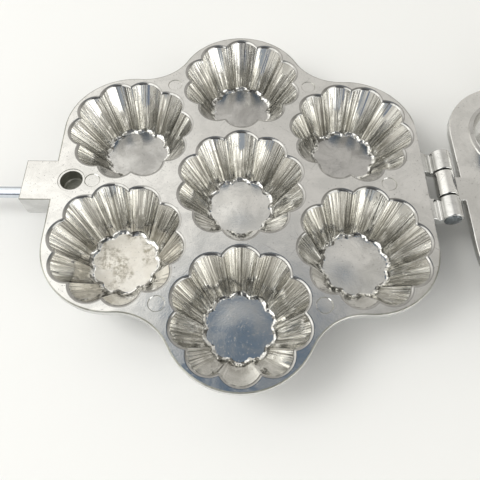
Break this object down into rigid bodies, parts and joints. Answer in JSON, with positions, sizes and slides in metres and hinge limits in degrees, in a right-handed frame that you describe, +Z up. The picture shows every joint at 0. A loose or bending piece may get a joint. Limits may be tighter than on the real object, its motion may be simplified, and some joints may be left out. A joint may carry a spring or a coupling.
{
  "type": "egg tart mold",
  "caption": "Hinged cast-aluminium egg tart iron opened flat: fluted cups in the base, tapered plugs on the cover, and a rod handle with a wooden grip on each half.",
  "frame": {"origin": "centre of the centre cup's flat underside, on the table", "axes": "+X along the handles from the base half towards the cover half, +Y to the back, +Z up"},
  "size_m": [0.8979, 0.2004, 0.0435],
  "materials": {
    "cast_aluminium": "polished casting",
    "polished_rod": "bright drawn rod",
    "plated_steel": "plated, satin",
    "hinge_steel": "riveted ends",
    "turned_wood": "varnished, turned"
  },
  "bodies": {
    "base": {"base_deck": "cast_aluminium", "cup_centre": "cast_aluminium", "cup_back_right": "cast_aluminium", "cup_back": "cast_aluminium", "cup_back_left": "cast_aluminium", "cup_front_left": "cast_aluminium", "cup_front": "cast_aluminium", "cup_front_right": "cast_aluminium", "hinge_pin": "hinge_steel", "base_rod": "polished_rod", "base_ferrule": "plated_steel", "base_grip": "turned_wood", "base_end_nut": "plated_steel"},
    "cover": {"cover_deck": "cast_aluminium", "plug_centre": "cast_aluminium", "plug_back_right": "cast_aluminium", "plug_back": "cast_aluminium", "plug_back_left": "cast_aluminium", "plug_front_left": "cast_aluminium", "plug_front": "cast_aluminium", "plug_front_right": "cast_aluminium", "locating_peg": "cast_aluminium", "cover_rod": "polished_rod", "cover_ferrule": "plated_steel", "cover_grip": "turned_wood", "cover_end_nut": "plated_steel"}
  },
  "joints": [
    {"name": "cover_hinge", "type": "hinge", "parent": "base", "child": "cover", "pos_m": [0.10066, 0, 0.02515], "axis": [0, -1, 0], "range_deg": [-10, 180]}
  ]
}
